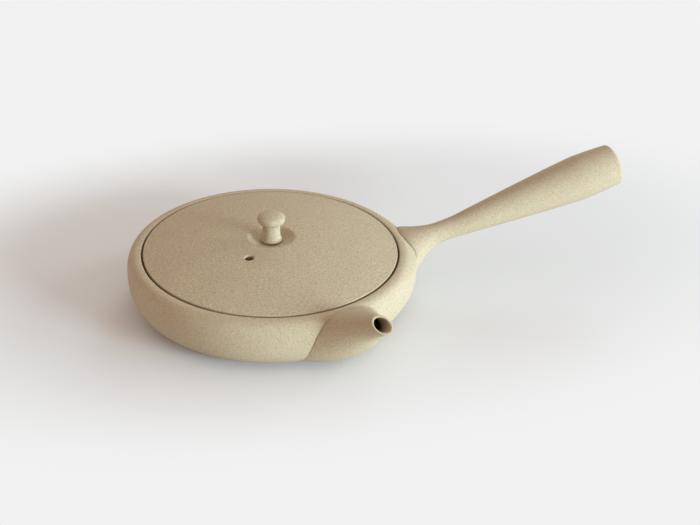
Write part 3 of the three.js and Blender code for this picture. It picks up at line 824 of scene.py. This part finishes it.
def clay(name, body, contrast, throwing=0.0, shade_rings=()):
    """Unglazed stoneware: fine light and dark grain, soft mottling, dark specks, a dry tooth, and painted
    shade in rings down the lid's gap and the vent hole.

    contrast scales the grain's range, and throwing, if any, is the scale of the turning lines.
    """
    material = bpy.data.materials.new(name)
    material.use_nodes = True
    tree = material.node_tree
    shader = tree.nodes["Principled BSDF"]
    coords = tree.nodes.new("ShaderNodeTexCoord").outputs["Object"]

    def noise(scale, roughness):
        made = node(tree, "ShaderNodeTexNoise", Scale=scale, Detail=NOISE_DETAIL, Roughness=roughness)
        tree.links.new(coords, made.inputs["Vector"])
        return made.outputs["Fac"]

    def specks(scale, size, share):
        """Round specks in a share of the cells: 1 in a speck, 0 elsewhere."""
        found = node(tree, "ShaderNodeTexVoronoi", Scale=scale)
        tree.links.new(coords, found.inputs["Vector"])
        near = ramp(tree, found.outputs["Distance"], size, size * SPECK_CORE)
        split = tree.nodes.new("ShaderNodeSeparateColor")
        tree.links.new(found.outputs["Color"], split.inputs["Color"])
        chosen = ramp(tree, split.outputs["Red"], share, share - SPECK_SPREAD)
        return times(tree, near, chosen)

    grain = ramp(tree, noise(GRAIN_SCALE, NOISE_ROUGH), *GRAIN_SPAN)
    darkest = scaled(body, *(1 - contrast * g for g in GRAIN_RANGE))
    lightest = scaled(body, *(1 + contrast * g for g in GRAIN_RANGE))
    colour = mixed(tree, grain, darkest, lightest)
    mottle = ramp(tree, noise(MOTTLE_SCALE, NOISE_SOFT), *MOTTLE_SPAN)
    colour = mixed(tree, times(tree, mottle, MOTTLE_STRENGTH), colour, scaled(body, *MOTTLE_TINT))
    for scale, size, share, strength in SPECKS:
        found = times(tree, specks(scale, size, share), strength)
        colour = mixed(tree, found, colour, scaled(body, *SPECK_TINT))
    # Painted shade: the clay is darkened in rings where the lid's gap and the vent hole lie in shade
    for ring in shade_rings:
        found = times(tree, painted_shade_ring(tree, coords, *ring), PAINTED_SHADE_STRENGTH)
        colour = mixed(tree, found, colour, PAINTED_SHADE)
    tree.links.new(colour, shader.inputs["Base Color"])

    roughness = tree.nodes.new("ShaderNodeMapRange")
    roughness.inputs["To Min"].default_value, roughness.inputs["To Max"].default_value = ROUGHNESS
    tree.links.new(grain, roughness.inputs["Value"])
    tree.links.new(roughness.outputs["Result"], shader.inputs["Roughness"])
    shader.inputs["Specular IOR Level"].default_value = SHEEN

    tooth = node(tree, "ShaderNodeBump", Strength=TOOTH_STRENGTH, Distance=TOOTH_DEPTH)
    tree.links.new(noise(TOOTH_SCALE, NOISE_ROUGH), tooth.inputs["Height"])
    last = tooth
    if throwing:
        rings = node(tree, "ShaderNodeTexWave", Scale=throwing, Distortion=LINES_WAVER, Detail=1.0)
        rings.wave_type = "RINGS"
        rings.rings_direction = "Z"
        tree.links.new(coords, rings.inputs["Vector"])
        lines = node(tree, "ShaderNodeBump", Strength=LINES_STRENGTH, Distance=LINES_DEPTH)
        tree.links.new(rings.outputs["Fac"], lines.inputs["Height"])
        tree.links.new(tooth.outputs["Normal"], lines.inputs["Normal"])
        last = lines
    tree.links.new(last.outputs["Normal"], shader.inputs["Normal"])
    return material


def dress(piece, material, body, cad_node):
    piece.data.materials.clear()
    piece.data.materials.append(material)
    smooth(piece)
    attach(piece, body)
    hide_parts(cad_node)


# Clay colours as linear reflectances, with the grain's range about them. Specks are scale, size, share and
# strength, and bump depths are metres
BODY_COLOUR = (0.51, 0.412, 0.279, 1.0)
LID_COLOUR = (0.51, 0.412, 0.279, 1.0)
INNER_COLOUR = (0.46, 0.38, 0.25, 1.0)
NOISE_DETAIL, NOISE_SOFT, NOISE_ROUGH = 3.0, 0.5, 0.6
GRAIN_SCALE = 1500
GRAIN_SPAN = (0.3, 0.7)
GRAIN_RANGE = (0.24, 0.25, 0.27)
BODY_GRAIN, LID_GRAIN, INNER_GRAIN = 0.52, 0.82, 0.6
MOTTLE_SCALE, MOTTLE_STRENGTH = 60, 0.18
MOTTLE_SPAN = (0.35, 0.65)
MOTTLE_TINT = (0.88, 0.86, 0.82)
SPECK_TINT = (0.42, 0.36, 0.30)
SPECK_CORE, SPECK_SPREAD = 0.4, 0.08
ROUGHNESS = (0.80, 0.95)
SHEEN = 0.2
TOOTH_SCALE, TOOTH_STRENGTH, TOOTH_DEPTH = 1900, 0.6, 0.00010
LINES_SCALE, LINES_WAVER = 260, 1.2
LINES_STRENGTH, LINES_DEPTH = 0.25, 0.00006
SPECKS = [(1500, 0.40, 0.30, 0.5), (620, 0.20, 0.20, 0.8)]
# Painted shade for the lid's gap and the vent hole: its colour, and how much of it is mixed in
PAINTED_SHADE = (0.27, 0.15, 0.08, 1.0)
PAINTED_SHADE_STRENGTH = 0.55

# Rings of painted shade, darkening the clay down the lid's gap and inside the vent hole: centre, edges of the
# ring and its top
LID_EDGE_TOP = LID_SEAT + LID_EDGE_HEIGHT
VENT_TOP = LID_SEAT + lid_top(VENT_FROM_CENTRE)
POT_SHADE_RINGS = [((0, 0), (LEDGE_RADIUS - 0.6, LEDGE_RADIUS), (OPENING_RADIUS + 0.45, OPENING_RADIUS + 0.05),
               (CREST_HEIGHT - 0.1, CREST_HEIGHT - 0.7))]
LID_SHADE_RINGS = [((0, 0), (LID_RADIUS - 0.25, LID_RADIUS - 0.05), (LID_RADIUS + 1, LID_RADIUS + 0.5),
               (LID_EDGE_TOP - 0.1, LID_EDGE_TOP - 0.7)),
              (VENT_CENTRE, (-1, -0.5), (VENT_MOUTH + 0.4, VENT_MOUTH + 0.2),
               (VENT_TOP - 0.3, VENT_TOP - 1.0))]
pot_clay = clay("pot_clay", BODY_COLOUR, BODY_GRAIN, shade_rings=POT_SHADE_RINGS)
lid_clay = clay("lid_clay", LID_COLOUR, LID_GRAIN, throwing=LINES_SCALE, shade_rings=LID_SHADE_RINGS)
inner_clay = clay("inner_clay", INNER_COLOUR, INNER_GRAIN)

dress(make_pot(), pot_clay, "pot", "pot_body")
dress(make_spout(), pot_clay, "pot", "spout")
dress(make_handle(), pot_clay, "pot", "handle")
dress(make_strainer(), inner_clay, "pot", "strainer")
dress(make_lid(), lid_clay, "lid", "lid_plate")
dress(make_knob(), lid_clay, "lid", "knob")


# Stage: floor, world, lights and camera
def seen_directly(tree):
    """1 for camera rays and for what metal or glass would show, 0 for light on its way."""
    path = tree.nodes.new("ShaderNodeLightPath")
    total = path.outputs["Is Camera Ray"]
    for name in ("Is Glossy Ray", "Is Transmission Ray"):
        total = maths(tree, "ShaderNodeMath", "MAXIMUM", total, path.outputs[name]).outputs[0]
    return total


def make_floor():
    """A pale floor that keeps the shadows near the pot and reaches the backdrop's white away from it."""
    corners = [(x * FLOOR_REACH, y * FLOOR_REACH, 0) for x, y in ((-1, -1), (1, -1), (1, 1), (-1, 1))]
    floor = new_object("floor", corners, [(0, 1, 2, 3)])
    material = bpy.data.materials.new("floor")
    material.use_nodes = True
    tree = material.node_tree
    shader = tree.nodes["Principled BSDF"]
    shader.inputs["Base Color"].default_value = FLOOR_COLOUR
    shader.inputs["Roughness"].default_value = FLOOR_ROUGHNESS
    shader.inputs["Specular IOR Level"].default_value = FLOOR_SHEEN
    white = node(tree, "ShaderNodeEmission", Color=BACKDROP, Strength=1.0)
    coords = tree.nodes.new("ShaderNodeTexCoord").outputs["Object"]
    away = vector(tree, "SUBTRACT", coords, [v * MM for v in WHITE_CENTRE])
    away = length(tree, vector(tree, "MULTIPLY", away, WHITE_STRETCH))
    share = ramp(tree, away, WHITE_FROM * MM, WHITE_TO * MM)
    mix = tree.nodes.new("ShaderNodeMixShader")
    tree.links.new(times(tree, share, seen_directly(tree)), mix.inputs["Fac"])
    tree.links.new(shader.outputs["BSDF"], mix.inputs[1])
    tree.links.new(white.outputs["Emission"], mix.inputs[2])
    tree.links.new(mix.outputs["Shader"], tree.nodes["Material Output"].inputs["Surface"])
    floor.data.materials.append(material)


def make_world():
    world = bpy.data.worlds.new("studio")
    bpy.context.scene.world = world
    world.use_nodes = True
    tree = world.node_tree
    soft = tree.nodes["Background"]
    soft.inputs["Color"].default_value = WORLD_COLOUR
    soft.inputs["Strength"].default_value = WORLD_STRENGTH
    seen = node(tree, "ShaderNodeBackground", Color=BACKDROP, Strength=1.0)
    mix = tree.nodes.new("ShaderNodeMixShader")
    tree.links.new(seen_directly(tree), mix.inputs["Fac"])
    tree.links.new(soft.outputs["Background"], mix.inputs[1])
    tree.links.new(seen.outputs["Background"], mix.inputs[2])
    tree.links.new(mix.outputs["Shader"], tree.nodes["World Output"].inputs["Surface"])


def make_light(name, azimuth, elevation, distance, size, power, colour):
    """An area light seen from the pot at an azimuth counted from +X and an elevation, in degrees."""
    data = bpy.data.lights.new(name, "AREA")
    data.shape = "DISK"
    data.size = size
    data.energy = power
    data.color = colour
    light = bpy.data.objects.new(name, data)
    bpy.context.scene.collection.objects.link(light)
    a, e = math.radians(azimuth), math.radians(elevation)
    away = Vector((math.cos(a) * math.cos(e), math.sin(a) * math.cos(e), math.sin(e)))
    light.location = Vector(LIGHT_TARGET) + away * distance
    light.rotation_euler = (-away).to_track_quat("-Z", "Y").to_euler()


def make_camera():
    """The photograph's camera, solved from the lid's rim and the pot's outline."""
    heading, pitch, roll = (math.radians(angle) for angle in CAMERA_ANGLES)
    along, across = math.cos(heading) * math.cos(pitch), -math.sin(heading) * math.cos(pitch)
    forward = Vector((across, along, -math.sin(pitch)))
    level = Vector((math.cos(heading), math.sin(heading), 0))
    down = forward.cross(level)
    right = math.cos(roll) * level + math.sin(roll) * down
    below = -math.sin(roll) * level + math.cos(roll) * down
    data = bpy.data.cameras.new("camera")
    data.sensor_width = SENSOR_WIDTH
    data.lens = FOCAL_PIXELS / PHOTO_PIXELS * SENSOR_WIDTH
    camera = bpy.data.objects.new("camera", data)
    bpy.context.scene.collection.objects.link(camera)
    turn = Matrix((right, -below, -forward)).transposed().to_4x4()
    camera.matrix_world = Matrix.Translation(Vector(CAMERA_PLACE) * MM) @ turn
    data.clip_start, data.clip_end = CLIPPING
    bpy.context.scene.camera = camera


# Camera: place in millimetres, then heading, pitch and roll in degrees
CAMERA_PLACE = (-90.60, -395.60, 252.76)
CAMERA_ANGLES = (-18.0, 29.92, -2.227)
FOCAL_PIXELS, PHOTO_PIXELS = 1016.0, 700.0
SENSOR_WIDTH = 36.0
CLIPPING = (0.02, 30)

# The floor blends to the backdrop's white between two distances in millimetres from a centre, sooner along Y
FLOOR_REACH = 6.0
FLOOR_ROUGHNESS = 0.9
FLOOR_SHEEN = 0.1
FLOOR_COLOUR = (0.82, 0.82, 0.82, 1.0)
BACKDROP = (0.887, 0.887, 0.887, 1.0)
WHITE_CENTRE = (44.7, 40.3, 0.0)
WHITE_STRETCH = (1.0, 1.78, 1.0)
WHITE_FROM, WHITE_TO = 145.9, 297.0
WORLD_COLOUR = (1.0, 0.822, 0.724, 1.0)
WORLD_STRENGTH = 0.602

# Lights: azimuth, elevation, distance, size, power and colour
LIGHT_TARGET = (0.02, 0, 0.02)
LIGHTS = {
    "key": (-50, 10, 2.2, 0.75, 54.4, (0.703, 0.927, 1.0)),
    "key_right": (-30, 10, 2.2, 0.75, 19.2, (0.432, 0.647, 1.0)),
    "side": (10, 22, 2.2, 0.75, 8.6, (0.905, 1.0, 0.984)),
    "side_back": (60, 25, 2.2, 1.0, 11.6, (0.561, 0.887, 1.0)),
}

make_floor()
make_world()
for light_name, settings in LIGHTS.items():
    make_light(light_name, *settings)
make_camera()
bpy.context.scene.view_settings.view_transform = "Standard"
